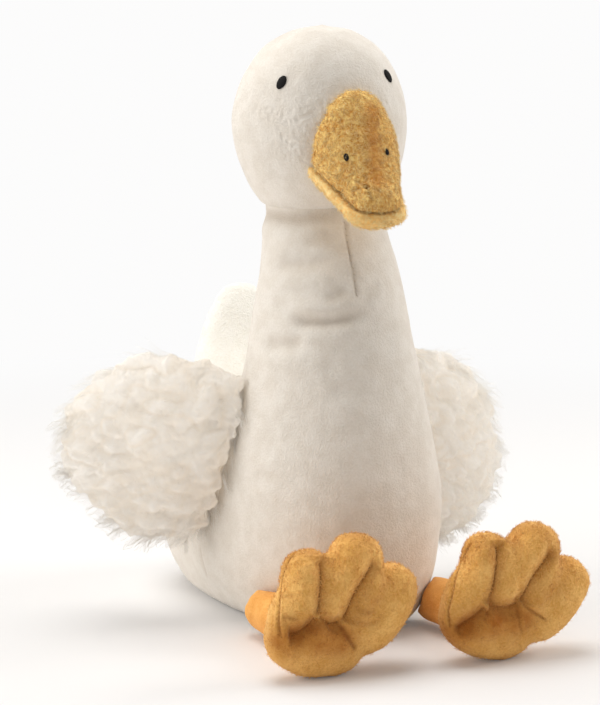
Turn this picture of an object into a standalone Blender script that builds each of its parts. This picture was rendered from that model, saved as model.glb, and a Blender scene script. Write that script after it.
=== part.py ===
"""Sitting plush goose: a stuffed body and head, a two-piece beak, embroidered eyes and nostrils,
shaggy wings, a pointed tail, and two legs that end in three-toed feet.

Metres, +Z up. The goose looks along -Y, so its left side is +X. The origin lies on the flat
patch that the body sits on, below its chest.
"""

import math
import random

import bmesh
import bpy
from mathutils import Matrix, Vector
from mathutils.bvhtree import BVHTree

MM = 0.001
GAP = 0.3 * MM  # clearance between pieces that are sewn together

# Body: torso and neck in one stuffed shell
BODY_LENGTH = 192 * MM  # chest to rump
BODY_WIDTH = 132 * MM
NECK_HEIGHT = 219.5 * MM  # floor to the seam under the head
NECK_FOLD_DEPTH = 1.6 * MM
NECK_FOLD_WIDTH = 5.0 * MM

# Head
HEAD_WIDTH = 93 * MM
HEAD_DEPTH = 92 * MM
HEAD_HEIGHT = 94 * MM  # neck seam to crown
HEAD_SET_BACK = 4 * MM  # middle of the head behind the middle of the neck

# Beak
BEAK_LENGTH = 48 * MM  # mouth corners to tip
BEAK_WIDTH = 48 * MM
BEAK_HEIGHT = 34.5 * MM  # mouth line to the top of the upper beak, at the face
BEAK_SLOPE = math.radians(32.5)  # mouth line below the horizontal
MOUTH_HEIGHT = 26.5 * MM  # mouth corners above the neck seam
MOUTH_FORWARD = 31 * MM  # mouth corners in front of the middle of the neck
LOWER_BEAK_THICKNESS = 9 * MM
LOWER_BEAK_LIP = 2.8 * MM  # how far the lower beak shows past the upper

# Embroidery
EYE_WIDTH = 5.2 * MM
EYE_HEIGHT = 7.8 * MM
EYE_RISE = 1.2 * MM  # how far the satin stitch stands up
EYE_LEVEL = {"right": 65.5 * MM, "left": 68 * MM}  # above the neck seam
EYE_TURN = {"right": math.radians(52), "left": math.radians(36)}  # from straight ahead
EYE_TILT = math.radians(20)
NOSTRIL_WIDTH = 2.8 * MM
NOSTRIL_HEIGHT = 4.4 * MM
NOSTRIL_RISE = 0.9 * MM
NOSTRIL_SPREAD = 22 * MM
NOSTRIL_SHIFT = -1.8 * MM  # their middle, along X from the beak's own
NOSTRIL_REACH = 20.5 * MM  # forward of the mouth corners

# Wings
WING_SPAN = 92 * MM  # body side to tip
WING_CHORD = 100 * MM
WING_THICKNESS = 30 * MM
WING_ROOT = 25 * MM  # length buried before the seat is cut
WING_LEVEL = {"right": 96 * MM, "left": 102 * MM}
WING_BACK = 16 * MM  # root behind the origin
WING_SWEEP = math.radians(28)
WING_DROOP = {"right": math.radians(0), "left": math.radians(38)}
LOCK_PITCH = 16 * MM  # from one row of fur locks to the next
LOCKS_AROUND = 11
LOCK_DEPTH = 9 * MM

# Tail
TAIL_LENGTH = 96 * MM
TAIL_WIDTH = 78 * MM
TAIL_THICKNESS = 44 * MM
TAIL_RISE = math.radians(62)

# Legs and feet
LEG_WIDTH = 25 * MM
LEG_LIFT = 1.5 * MM  # slack of the leg above the floor
FOOT_HEIGHT = 75 * MM
FOOT_THICKNESS = 30 * MM
TOE_WIDTH = 31 * MM
TOE_SPREAD = 28.5 * MM  # outer toe tips from the middle one
TOE_STEP = 13 * MM  # outer toe tips below the middle one
TOE_BASE = 19 * MM  # lower ends of the toes above the heel's underside
OUTER_TOE_WIDTH = 28.5 * MM
OUTER_TOE_THICKNESS = 29 * MM
OUTER_TOE_ROOT = (9.7 * MM, 17 * MM)  # lower end of an outer toe: beside the middle, above the underside
WEB_WIDTH = 66 * MM  # padding behind the toes, which closes the gaps between them
WEB_HEIGHT = 48 * MM
WEB_THICKNESS = 20 * MM
HEEL_WIDTH = 55 * MM
HEEL_HEIGHT = 52 * MM
HEEL_THICKNESS = 27 * MM
HEEL_SLIDE = 11.5 * MM  # heel to the goose's right of the toes, as the feet lie in this pose
FOOT_ROUNDING = 0.75  # 1 is an oval section, and less is nearer to a box, as a sewn side wall makes it
FLOOR_BITE = 1.2 * MM  # how far the heel flattens on the floor
LEGS = {  # hip (x, y), foot (x, y), turn about Z and lean to the goose's left, in degrees
    "right": ((-50 * MM, -12 * MM), (-40 * MM, -95 * MM), 0, 14),
    "left": ((38 * MM, -22 * MM), (52 * MM, -104 * MM), 0, 21),
}

# Torso and neck sections, from the rump forward and up to the neck seam: the belly's (y, z),
# the back's (y, z) and the half width, as shares of the body's length, neck height and width
BODY_SECTIONS = (
    (0.715, 0.17, 0.73, 0.27, 0.05),
    (0.68, 0.03, 0.70, 0.37, 0.27),
    (0.59, -0.06, 0.615, 0.455, 0.42),
    (0.42, -0.10, 0.48, 0.505, 0.495),
    (0.19, -0.10, 0.38, 0.545, 0.505),
    (-0.04, -0.08, 0.32, 0.575, 0.49),
    (-0.22, 0.0, 0.29, 0.615, 0.45),
    (-0.30, 0.19, 0.275, 0.655, 0.41),
    (-0.275, 0.37, 0.265, 0.705, 0.372),
    (-0.235, 0.54, 0.26, 0.765, 0.334),
    (-0.19, 0.71, 0.255, 0.85, 0.299),
    (-0.13, 0.87, 0.255, 0.935, 0.264),
    (-0.05, 1.00, 0.25, 1.00, 0.243),
)
# Folds round the throat: height as a share of the neck height, turn from the front, half reach
NECK_FOLDS = ((0.95, 0, 150), (0.88, -20, 60), (0.75, -20, 34), (0.70, -10, 50), (0.60, -25, 45))
# Head sections from the neck seam to the crown: height and radius shares
HEAD_SECTIONS = (
    (0.0, 0.69),
    (0.03, 0.725),
    (0.12, 0.845),
    (0.27, 0.95),
    (0.44, 1.0),
    (0.60, 0.955),
    (0.75, 0.835),
    (0.88, 0.625),
    (0.97, 0.32),
)


def clear_scene():
    for old in list(bpy.data.objects):
        bpy.data.objects.remove(old)


def fabric(name, colour, roughness):
    made = bpy.data.materials.new(name)
    made.use_nodes = True
    shader = made.node_tree.nodes["Principled BSDF"]
    shader.inputs["Base Color"].default_value = (*colour, 1.0)
    shader.inputs["Roughness"].default_value = roughness
    shader.inputs["Metallic"].default_value = 0.0
    return made


def flat(_point, _spoke):
    return 0.0


def smooth_rows(rows, steps):
    """Rows of numbers along a Catmull-Rom curve through the given rows, in steps per span."""
    ends = [rows[0], *rows, rows[-1]]
    out = []
    for before, start, end, after in zip(ends, ends[1:], ends[2:], ends[3:]):
        for step in range(steps):
            t = step / steps
            out.append(
                tuple(
                    b + 0.5 * t * (c - a + t * (2 * a - 5 * b + 4 * c - d + t * (3 * (b - c) + d - a)))
                    for a, b, c, d in zip(before, start, end, after)
                )
            )
    return [*out, tuple(rows[-1])]


def loft(name, rings, sides, first_pole=None, last_pole=None, relief=flat, rounding=1.0):
    """A closed object through rings, each (centre, across, up). An end with a pole runs to that
    point, and one without is flat. Relief moves a point out along its spoke. A ring is an ellipse
    at rounding 1, and nearer to a box below it."""
    bm = bmesh.new()
    loops = []
    for centre, across, up in rings:
        circle = bmesh.ops.create_circle(bm, segments=sides, radius=1.0)["verts"]
        for corner, vert in enumerate(circle):
            angle = 2 * math.pi * corner / sides
            wide, high = math.cos(angle), math.sin(angle)
            wide = math.copysign(abs(wide) ** rounding, wide)
            high = math.copysign(abs(high) ** rounding, high)
            spoke = across * wide + up * high
            vert.co = centre + spoke + spoke.normalized() * relief(centre + spoke, spoke)
        loops.append(list({edge for vert in circle for edge in vert.link_edges}))
    for first, second in zip(loops, loops[1:]):
        bmesh.ops.bridge_loops(bm, edges=first + second)
    for loop, pole in ((loops[0], first_pole), (loops[-1], last_pole)):
        cap = bmesh.ops.contextual_create(bm, geom=loop)["faces"]
        if pole is not None:
            for vert in bmesh.ops.poke(bm, faces=cap)["verts"]:
                vert.co = pole
    bmesh.ops.recalc_face_normals(bm, faces=bm.faces)
    return object_of(name, bm)


def object_of(name, bm):
    mesh = bpy.data.meshes.new(name)
    bm.to_mesh(mesh)
    bm.free()
    made = bpy.data.objects.new(name, mesh)
    bpy.context.scene.collection.objects.link(made)
    return made


def finish(piece, material):
    piece.data.materials.clear()
    piece.data.materials.append(material)
    piece.data.shade_smooth()
    return piece


def bake(piece):
    """Fixes the piece's modifiers and place into its mesh, so others can be cut to it."""
    bpy.context.view_layer.update()
    graph = bpy.context.evaluated_depsgraph_get()
    mesh = bpy.data.meshes.new_from_object(piece.evaluated_get(graph))
    mesh.transform(piece.matrix_world)
    piece.modifiers.clear()
    piece.data = mesh
    piece.matrix_world = Matrix.Identity(4)
    return piece


def hide_helper(helper):
    helper.hide_render = True
    helper.display_type = "WIRE"


def sew_to(piece, carrier):
    """Cuts the piece's buried root to the carrier's surface, a clearance away from it."""
    cutter = bpy.data.objects.new(f"{piece.name}_seat_on_{carrier.name}", carrier.data)
    bpy.context.scene.collection.objects.link(cutter)
    grow = cutter.modifiers.new("Clearance", "DISPLACE")
    grow.strength = GAP
    grow.mid_level = 0.0
    hide_helper(cutter)
    cut = piece.modifiers.new(f"Seat on {carrier.name}", "BOOLEAN")
    cut.operation = "DIFFERENCE"
    cut.object = cutter
    return piece


def flatten_on_floor(piece):
    """Trims what would reach below the floor and closes the trim with a flat patch."""
    bm = bmesh.new()
    bm.from_mesh(piece.data)
    geometry = [*bm.verts, *bm.edges, *bm.faces]
    bmesh.ops.bisect_plane(
        bm, geom=geometry, plane_co=(0, 0, 0), plane_no=(0, 0, 1), clear_inner=True
    )
    rim = [edge for edge in bm.edges if edge.is_boundary]
    bmesh.ops.contextual_create(bm, geom=rim)
    bmesh.ops.recalc_face_normals(bm, faces=bm.faces)
    bm.to_mesh(piece.data)
    bm.free()
    return piece


def surface_hit(carrier, start, direction):
    """Where a ray meets the carrier, and its outward normal there."""
    tree = BVHTree.FromPolygons(
        [vert.co for vert in carrier.data.vertices],
        [face.vertices for face in carrier.data.polygons],
    )
    point, normal, _, _ = tree.ray_cast(start, direction)
    return point, normal


# Body

def body_ring(section):
    belly_y, belly_z, back_y, back_z, half_width = section
    belly = Vector((0, belly_y * BODY_LENGTH, belly_z * NECK_HEIGHT))
    back = Vector((0, back_y * BODY_LENGTH, back_z * NECK_HEIGHT))
    across = Vector((half_width * BODY_WIDTH, 0, 0))
    return (belly + back) / 2, across, (back - belly) / 2


def neck_fold_relief(point, spoke):
    """How far the cloth dips in at a point of the neck."""
    turn = math.degrees(math.atan2(spoke.x, -spoke.y))
    dip = 0.0
    for level, middle, reach in NECK_FOLDS:
        up = (point.z - level * NECK_HEIGHT) / NECK_FOLD_WIDTH
        side = (turn - middle) / reach
        dip += math.exp(-up * up - side * side)
    return -NECK_FOLD_DEPTH * dip


def neck_seam():
    """Middle of the ring that joins neck and head."""
    return body_ring(BODY_SECTIONS[-1])[0]


def make_body(material):
    rings = [body_ring(row) for row in smooth_rows(BODY_SECTIONS, 3)]
    rump = rings[0][0] + Vector((0, 0.008 * BODY_LENGTH, 0))
    body = loft("body", rings, 28, first_pole=rump, relief=neck_fold_relief)
    return finish(flatten_on_floor(body), material)


# Head

def head_ring(section):
    level, radius = section
    seam = neck_seam()
    lift = level * HEAD_HEIGHT
    lean = Vector((0, HEAD_SET_BACK * math.sin(math.pi * level), 0))
    across = Vector((radius * HEAD_WIDTH / 2, 0, 0))
    up = Vector((0, radius * HEAD_DEPTH / 2, 0))
    return seam + lean + Vector((0, 0, GAP + lift)), across, up


def head_centre():
    """The middle of the head's widest ring."""
    return head_ring(HEAD_SECTIONS[4])[0]


def make_head(material):
    rings = [head_ring(row) for row in smooth_rows(HEAD_SECTIONS, 3)]
    crown = head_ring((1.0, 0.0))[0]
    return finish(loft("head", rings, 28, last_pole=crown), material)


# Beak

def beak_frame():
    """Matrix from the beak's own axes to the goose: X across, -Y along the mouth line to the
    tip, Z up from the mouth. Its origin lies midway between the mouth corners."""
    corner = neck_seam() + Vector((0, -MOUTH_FORWARD, MOUTH_HEIGHT))
    return Matrix.Translation(corner) @ Matrix.Rotation(BEAK_SLOPE, 4, "X")


def beak_rings(rows, top, bottom, widen):
    """Rings across the beak from (reach, width, height) shares, between a top and a bottom."""
    rings = []
    for reach, width, height in rows:
        high = top * height
        along = -reach * BEAK_LENGTH
        across = Vector((width * BEAK_WIDTH / 2 + widen, 0, 0))
        rings.append((Vector((0, along, (high + bottom) / 2)), across, Vector((0, 0, (high - bottom) / 2))))
    return rings


def flat_below(piece, level, keep_above=True):
    """Trims a piece at a level of its own Z, leaving a flat face there."""
    bm = bmesh.new()
    bm.from_mesh(piece.data)
    bmesh.ops.bisect_plane(
        bm,
        geom=[*bm.verts, *bm.edges, *bm.faces],
        plane_co=(0, 0, level),
        plane_no=(0, 0, 1),
        clear_inner=keep_above,
        clear_outer=not keep_above,
    )
    rim = [edge for edge in bm.edges if edge.is_boundary]
    bmesh.ops.contextual_create(bm, geom=rim)
    bmesh.ops.recalc_face_normals(bm, faces=bm.faces)
    bm.to_mesh(piece.data)
    bm.free()
    return piece


def make_upper_beak(head, material):
    rows = smooth_rows(
        (
            (-0.6, 0.84, 0.95),
            (-0.25, 0.92, 0.98),
            (0.0, 0.97, 0.92),
            (0.2, 0.94, 0.80),
            (0.43, 0.83, 0.61),
            (0.68, 0.68, 0.42),
            (0.88, 0.60, 0.32),
            (0.97, 0.50, 0.22),
        ),
        3,
    )
    rings = beak_rings(rows, BEAK_HEIGHT, -BEAK_HEIGHT * 0.5, 0.0)
    tip = Vector((0, -BEAK_LENGTH, 0.05 * BEAK_HEIGHT))
    beak = loft("upper_beak", rings, 28, last_pole=tip)
    flat_below(beak, GAP / 2)
    beak.matrix_world = beak_frame()
    sew_to(beak, head)
    return finish(bake(beak), material)


def make_lower_beak(head, body, material):
    rows = smooth_rows(
        (
            (-0.5, 0.72, 1.0),
            (-0.1, 0.84, 1.0),
            (0.15, 0.93, 1.0),
            (0.43, 0.83, 1.0),
            (0.68, 0.68, 1.0),
            (0.90, 0.60, 0.9),
            (1.0, 0.50, 0.7),
        ),
        3,
    )
    rings = beak_rings(rows, LOWER_BEAK_THICKNESS / 2, -LOWER_BEAK_THICKNESS, LOWER_BEAK_LIP)
    tip = Vector((0, -BEAK_LENGTH - LOWER_BEAK_LIP, -LOWER_BEAK_THICKNESS * 0.4))
    beak = loft("lower_beak", rings, 24, last_pole=tip)
    flat_below(beak, -GAP / 2, keep_above=False)
    beak.matrix_world = beak_frame()
    sew_to(beak, head)
    sew_to(beak, body)
    return finish(bake(beak), material)


# Embroidery

def make_stitch_patch(name, carrier, start, direction, size, rise, tilt, material):
    """A raised oval of satin stitch on a carrier, where a ray from start leaves it."""
    outside = start + direction.normalized() * 0.2
    point, normal = surface_hit(carrier, outside, start - outside)
    bm = bmesh.new()
    bmesh.ops.create_uvsphere(bm, u_segments=12, v_segments=8, radius=0.5)
    bmesh.ops.scale(bm, vec=(size[0], size[1], 2 * rise), verts=bm.verts)
    patch = object_of(name, bm)
    facing = normal.to_track_quat("Z", "Y").to_matrix().to_4x4()
    patch.matrix_world = Matrix.Translation(point) @ facing @ Matrix.Rotation(tilt, 4, "Z")
    sew_to(patch, carrier)
    return finish(bake(patch), material)


def make_eye(side, sign, head, material):
    start = head_centre()
    start.z = neck_seam().z + EYE_LEVEL[side]
    turn = EYE_TURN[side]
    direction = Vector((sign * math.sin(turn), -math.cos(turn), 0))
    size = (EYE_WIDTH, EYE_HEIGHT)
    return make_stitch_patch(
        f"eye_{side}", head, start, direction, size, EYE_RISE, sign * EYE_TILT, material
    )


def make_nostril(side, sign, beak, material):
    across = sign * NOSTRIL_SPREAD / 2 + NOSTRIL_SHIFT
    start = beak_frame() @ Vector((across, -NOSTRIL_REACH, 0))
    direction = beak_frame().to_3x3() @ Vector((0, 0, 1))
    size = (NOSTRIL_WIDTH, NOSTRIL_HEIGHT)
    return make_stitch_patch(
        f"nostril_{side}", beak, start, direction, size, NOSTRIL_RISE, -sign * EYE_TILT, material
    )


# Wings

def lock_relief(point, spoke):
    """Rows of fur locks that overlap like shingles and stand proud at their tips."""
    around = (math.atan2(spoke.z, spoke.y) / (2 * math.pi)) % 1.0 * LOCKS_AROUND
    row = math.floor(point.x / LOCK_PITCH)
    around += 0.5 * (row % 2)
    seed = random.Random(int(around) * 31 + row * 7)
    bulge = math.cos(math.pi * (around % 1.0 - 0.5))
    rise = (point.x / LOCK_PITCH) % 1.0
    edge = 0.45 + 0.55 * abs(math.sin(math.atan2(spoke.z, spoke.y)))
    return LOCK_DEPTH * edge * seed.uniform(0.7, 1.1) * (0.35 + 0.65 * rise) * bulge


def make_wing(side, sign, body, material):
    rows = smooth_rows(
        (  # along the span, chord centre, half chord, half thickness
            (-WING_ROOT, 0.02, 0.26, 0.30),
            (0.0, 0.01, 0.38, 0.38),
            (0.25 * WING_SPAN, -0.02, 0.47, 0.50),
            (0.50 * WING_SPAN, -0.03, 0.47, 0.48),
            (0.73 * WING_SPAN, -0.02, 0.38, 0.38),
            (0.90 * WING_SPAN, 0.0, 0.24, 0.24),
            (0.97 * WING_SPAN, 0.01, 0.12, 0.12),
        ),
        4,
    )
    rings = [
        (
            Vector((along, 0, centre * WING_CHORD)),
            Vector((0, thick * WING_THICKNESS, 0)),
            Vector((0, 0, chord * WING_CHORD)),
        )
        for along, centre, chord, thick in rows
    ]
    tip = Vector((WING_SPAN, 0, 0.01 * WING_CHORD))
    wing = loft(f"wing_{side}", rings, 40, rings[0][0], tip, lock_relief)
    shoulder = Vector((0, WING_BACK, WING_LEVEL[side]))
    outward = Vector((1, 0, 0))
    root, _ = surface_hit(body, shoulder + outward * 0.2, -outward)
    place = (
        Matrix.Translation(root)
        @ Matrix.Rotation(WING_SWEEP, 4, "Z")
        @ Matrix.Rotation(WING_DROOP[side], 4, "Y")
    )
    wing.data.transform(place)
    if sign < 0:
        wing.data.transform(Matrix.Scale(-1, 4, Vector((1, 0, 0))))
        wing.data.flip_normals()
    sew_to(wing, body)
    return finish(bake(wing), material)


# Tail

def make_tail(body, material):
    rows = smooth_rows(
        (  # along the tail, half width, half thickness, bend back
            (0.0, 0.50, 0.50, 0.0),
            (0.25, 0.50, 0.50, 0.02),
            (0.50, 0.43, 0.40, 0.03),
            (0.75, 0.30, 0.28, 0.01),
            (0.90, 0.19, 0.18, -0.02),
            (0.97, 0.10, 0.10, -0.03),
        ),
        3,
    )
    rings = [
        (
            Vector((0, bend * TAIL_LENGTH, along * TAIL_LENGTH)),
            Vector((wide * TAIL_WIDTH, 0, 0)),
            Vector((0, thick * TAIL_THICKNESS, 0)),
        )
        for along, wide, thick, bend in rows
    ]
    tail = loft("tail", rings, 16, rings[0][0], Vector((0, -0.04 * TAIL_LENGTH, TAIL_LENGTH)))
    root = Vector((0, 0.50 * BODY_LENGTH, 0.36 * NECK_HEIGHT))
    tail.matrix_world = Matrix.Translation(root) @ Matrix.Rotation(TAIL_RISE - math.pi / 2, 4, "X")
    sew_to(tail, body)
    return finish(bake(tail), material)


# Feet and legs

def foot_lobe(name, low, high, width, thickness):
    """One stuffed lobe of the foot, from low to high in the sole's (x, z) plane."""
    start, end = Vector((low[0], 0, low[1])), Vector((high[0], 0, high[1]))
    axis = (end - start).normalized()
    across = Vector((axis.z, 0, -axis.x))
    rings = []
    for turn in range(1, 9):
        angle = math.pi * turn / 9
        share = 0.5 - 0.5 * math.cos(angle)
        size = math.sin(angle) ** 0.6 / 2
        rings.append(
            (start.lerp(end, share), across * width * size, Vector((0, thickness * size, 0)))
        )
    return loft(name, rings, 14, start, end, rounding=FOOT_ROUNDING)


def make_foot(side, place, material):
    outer = FOOT_HEIGHT - TOE_STEP
    lobes = [
        foot_lobe(f"foot_{side}", (0, TOE_BASE), (0, FOOT_HEIGHT), TOE_WIDTH, FOOT_THICKNESS)
    ]
    for sign in (-1, 1):
        low = (sign * OUTER_TOE_ROOT[0], OUTER_TOE_ROOT[1])
        high = (sign * TOE_SPREAD, outer)
        lobes.append(foot_lobe("toe", low, high, OUTER_TOE_WIDTH, OUTER_TOE_THICKNESS))
    middle = HEEL_HEIGHT / 2
    ends = (-HEEL_WIDTH / 2 - HEEL_SLIDE, middle), (HEEL_WIDTH / 2 - HEEL_SLIDE, middle)
    lobes.append(foot_lobe("heel", *ends, HEEL_HEIGHT, HEEL_THICKNESS))
    middle = FOOT_HEIGHT - TOE_STEP - WEB_HEIGHT / 2
    ends = (-WEB_WIDTH / 2, middle), (WEB_WIDTH / 2, middle)
    lobes.append(foot_lobe("web", *ends, WEB_HEIGHT, WEB_THICKNESS))
    foot = lobes[0]
    for lobe in lobes[1:]:
        join = foot.modifiers.new(f"Join {lobe.name}", "BOOLEAN")
        join.operation = "UNION"
        join.object = lobe
        hide_helper(lobe)
    bake(foot)
    foot.data.transform(place)
    lowest = min(vert.co.z for vert in foot.data.vertices)
    foot.data.transform(Matrix.Translation((0, 0, -lowest - FLOOR_BITE)))
    return finish(flatten_on_floor(foot), material)


def foot_place(side):
    _, (x, y), turn, lean = LEGS[side]
    lift = Vector((0, 0, FOOT_HEIGHT / 2))
    return (
        Matrix.Translation((x, y, 0))
        @ Matrix.Rotation(math.radians(turn), 4, "Z")
        @ Matrix.Translation(lift)
        @ Matrix.Rotation(math.radians(lean), 4, "Y")
        @ Matrix.Translation(-lift)
    )


def make_leg(side, body, foot, material):
    (hip_x, hip_y), (foot_x, foot_y), _, _ = LEGS[side]
    radius = LEG_WIDTH / 2
    hip = Vector((hip_x, hip_y, radius + LEG_LIFT))
    ankle = Vector((foot_x, foot_y, radius + LEG_LIFT))
    along = ankle - hip
    across = along.cross(Vector((0, 0, 1))).normalized()
    up = across.cross(along).normalized()
    rings = []
    for share, size in ((0.0, 0.9), (0.25, 1.0), (0.5, 1.04), (0.75, 1.0), (1.0, 0.92)):
        rings.append((hip + along * share, across * radius * size, up * radius * size))
    leg = loft(f"leg_{side}", rings, 18)
    sew_to(leg, body)
    sew_to(leg, foot)
    return finish(bake(leg), material)


def main():
    clear_scene()
    white_plush = fabric("White plush", (0.80, 0.76, 0.68), 0.95)
    shaggy_fur = fabric("Shaggy fur", (0.86, 0.82, 0.75), 1.0)
    mustard_plush = fabric("Mustard plush", (0.56, 0.30, 0.075), 0.9)
    leg_cloth = fabric("Leg cloth", (0.56, 0.24, 0.055), 0.9)
    black_thread = fabric("Black thread", (0.012, 0.010, 0.010), 0.6)

    body = make_body(white_plush)
    head = make_head(white_plush)
    upper_beak = make_upper_beak(head, mustard_plush)
    make_lower_beak(head, body, mustard_plush)
    make_tail(body, white_plush)
    for side, sign in (("right", -1), ("left", 1)):
        make_eye(side, sign, head, black_thread)
        make_nostril(side, sign, upper_beak, black_thread)
        make_wing(side, sign, body, shaggy_fur)
        foot = make_foot(side, foot_place(side), mustard_plush)
        make_leg(side, body, foot, leg_cloth)


main()
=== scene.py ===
"""Looks of a sitting stuffed goose: velour skin, shaggy wings, plush beak and feet, and the thread
that sews them."""

import math

import bmesh
import bpy
import numpy as np
from mathutils import Matrix, Vector, noise
from mathutils.bvhtree import BVHTree


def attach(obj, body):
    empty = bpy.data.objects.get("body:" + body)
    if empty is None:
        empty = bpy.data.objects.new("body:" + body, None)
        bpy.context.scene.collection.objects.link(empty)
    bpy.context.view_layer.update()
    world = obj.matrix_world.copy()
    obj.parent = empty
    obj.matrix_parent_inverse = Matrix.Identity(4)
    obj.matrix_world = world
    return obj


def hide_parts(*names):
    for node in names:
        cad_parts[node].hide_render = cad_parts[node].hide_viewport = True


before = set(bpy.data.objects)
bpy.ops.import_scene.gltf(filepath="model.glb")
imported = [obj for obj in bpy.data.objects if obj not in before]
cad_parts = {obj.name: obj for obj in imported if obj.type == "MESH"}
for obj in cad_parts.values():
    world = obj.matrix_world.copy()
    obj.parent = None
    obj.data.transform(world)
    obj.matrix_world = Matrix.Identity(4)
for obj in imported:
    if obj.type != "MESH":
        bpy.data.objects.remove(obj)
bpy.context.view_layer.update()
scene = bpy.context.scene
scene.view_settings.view_transform = "Standard"
MM = 0.001

# The photograph's own frame, and the camera that took it.
PHOTO_WIDTH = 600
PHOTO_HEIGHT = 705
CAMERA_TURN = math.radians(-24.0)
CAMERA_RISE = math.radians(9.5)
CAMERA_DISTANCE = 1.3
AIM_RIGHT = -0.0195
AIM_UP = 0.141
LENS = 124.0
FILM = 36.0

# Stuffing, for each piece: voxel of the shell, how far it starts inside its solid, and how far a
# point may swell.
FILLING_PRESSURE = 4.0
FILLING_FRAMES = 20
SUBDIVISIONS = 2
STUFFED = {
    "body": (5.2 * MM, 1.6 * MM, 2.2 * MM),
    "head": (3.2 * MM, 1.2 * MM, 1.6 * MM),
    "tail": (4.6 * MM, 1.4 * MM, 2.0 * MM),
    "leg_right": (4.0 * MM, 1.0 * MM, 1.3 * MM),
    "leg_left": (4.0 * MM, 1.0 * MM, 1.3 * MM),
    "foot_right": (3.0 * MM, 1.2 * MM, 1.7 * MM),
    "foot_left": (3.0 * MM, 1.2 * MM, 1.7 * MM),
    "upper_beak": (2.4 * MM, 0.7 * MM, 1.0 * MM),
    "lower_beak": (2.0 * MM, 0.5 * MM, 0.8 * MM),
    "wing_right": (3.4 * MM, 1.5 * MM, 1.2 * MM),
    "wing_left": (3.4 * MM, 1.5 * MM, 1.2 * MM),
}


# Camera
def camera_axes():
    """Right, up and back of the camera, as directions in the goose's frame."""
    back = Vector(
        (
            math.sin(CAMERA_TURN) * math.cos(CAMERA_RISE),
            -math.cos(CAMERA_TURN) * math.cos(CAMERA_RISE),
            math.sin(CAMERA_RISE),
        )
    )
    right = Vector((math.cos(CAMERA_TURN), math.sin(CAMERA_TURN), 0))
    return right, back.cross(right), back


RIGHT, UP, BACK = camera_axes()
CAMERA_PLACE = RIGHT * AIM_RIGHT + UP * AIM_UP + BACK * CAMERA_DISTANCE


def place_camera():
    lens = bpy.data.cameras.new("photo_camera")
    lens.lens = LENS
    lens.sensor_width = FILM
    lens.sensor_fit = "AUTO"
    lens.clip_end = 30
    camera = bpy.data.objects.new("photo_camera", lens)
    scene.collection.objects.link(camera)
    turn = Matrix((RIGHT, UP, BACK)).transposed().to_4x4()
    camera.matrix_world = Matrix.Translation(CAMERA_PLACE) @ turn
    scene.camera = camera


def photo_ray(across, down):
    """Direction in which the camera sees a pixel of the photograph."""
    focal = LENS / FILM * PHOTO_HEIGHT
    x = (across - PHOTO_WIDTH / 2) / focal
    y = (PHOTO_HEIGHT / 2 - down) / focal
    return (RIGHT * x + UP * y - BACK).normalized()


# Materials
OBJECT_PLACE = 3  # output of Texture Coordinate that gives Object coordinates
FACTOR = 2  # output of Attribute that gives a number


class Dye:
    """One socket of a material, which can be added, taken away and multiplied like a number."""

    def __init__(self, tree, socket=None):
        self.tree = tree
        self.socket = socket

    def node(self, kind, settings=None, values=None, out=0):
        """A node of any kind: its settings first, then the values or links of its sockets."""
        made = self.tree.nodes.new(kind)
        for name, value in (settings or {}).items():
            if name == "stops":
                ramp = made.color_ramp
                while len(ramp.elements) < len(value):
                    ramp.elements.new(0.5)
                for element, (place, colour) in zip(ramp.elements, value):
                    element.position = place
                    element.color = colour
            else:
                setattr(made, name, value)
        for name, value in (values or {}).items():
            if isinstance(value, Dye):
                self.tree.links.new(value.socket, made.inputs[name])
            else:
                made.inputs[name].default_value = value
        return Dye(self.tree, made.outputs[out] if made.outputs else None)

    def math(self, how, first, second):
        return self.node("ShaderNodeMath", {"operation": how}, {0: first, 1: second})

    def __add__(self, other):
        return self.math("ADD", self, other)

    __radd__ = __add__

    def __mul__(self, other):
        return self.math("MULTIPLY", self, other)

    __rmul__ = __mul__

    def between(self, low, high):
        """0 below low, 1 above high, and smooth between."""
        return self.node(
            "ShaderNodeMapRange",
            {"interpolation_type": "SMOOTHSTEP"},
            {"Value": self, "From Min": low, "From Max": high},
        )

    def blend(self, first, second):
        """A colour between two colours, by this value."""
        return self.node(
            "ShaderNodeMix",
            {"data_type": "RGBA"},
            {"Factor": self, 6: first, 7: second},
            out=2,
        )


def new_material(name):
    material = bpy.data.materials.new(name)
    material.use_nodes = True
    material.node_tree.nodes.clear()
    return material, Dye(material.node_tree)


def rgb(red, green, blue):
    return (red, green, blue, 1.0)


def marked(dye, label):
    """A mark on the mesh's own points, from 0 to 1."""
    return dye.node("ShaderNodeAttribute", {"attribute_name": label}, out=FACTOR)


def grain(dye, size, detail=2.0, stretch=(1, 1, 1), rough=0.5):
    """Noise whose patches are about this size, in the goose's own frame."""
    place = dye.node("ShaderNodeTexCoord", out=OBJECT_PLACE)
    place = dye.node("ShaderNodeMapping", {"vector_type": "TEXTURE"}, {"Vector": place, "Scale": stretch})
    return dye.node(
        "ShaderNodeTexNoise",
        None,
        {"Vector": place, "Scale": 1 / size, "Detail": detail, "Roughness": rough},
    )


def surface(dye, colour, normal, roughness, sheen=0.0, sheen_roughness=0.5, glow=0.0):
    """The cloth itself. glow is the share of light that goes through the pile."""
    shader = dye.node(
        "ShaderNodeBsdfPrincipled",
        None,
        {
            "Base Color": colour,
            "Roughness": roughness,
            "Normal": normal,
            "Specular IOR Level": 0.2,
            "Sheen Weight": sheen,
            "Sheen Roughness": sheen_roughness,
        },
    )
    if glow:
        through = dye.node("ShaderNodeBsdfTranslucent", None, {"Color": colour, "Normal": normal})
        shader = dye.node("ShaderNodeMixShader", None, {0: glow, 1: shader, 2: through})
    dye.node("ShaderNodeOutputMaterial", None, {"Surface": shader})


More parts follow.
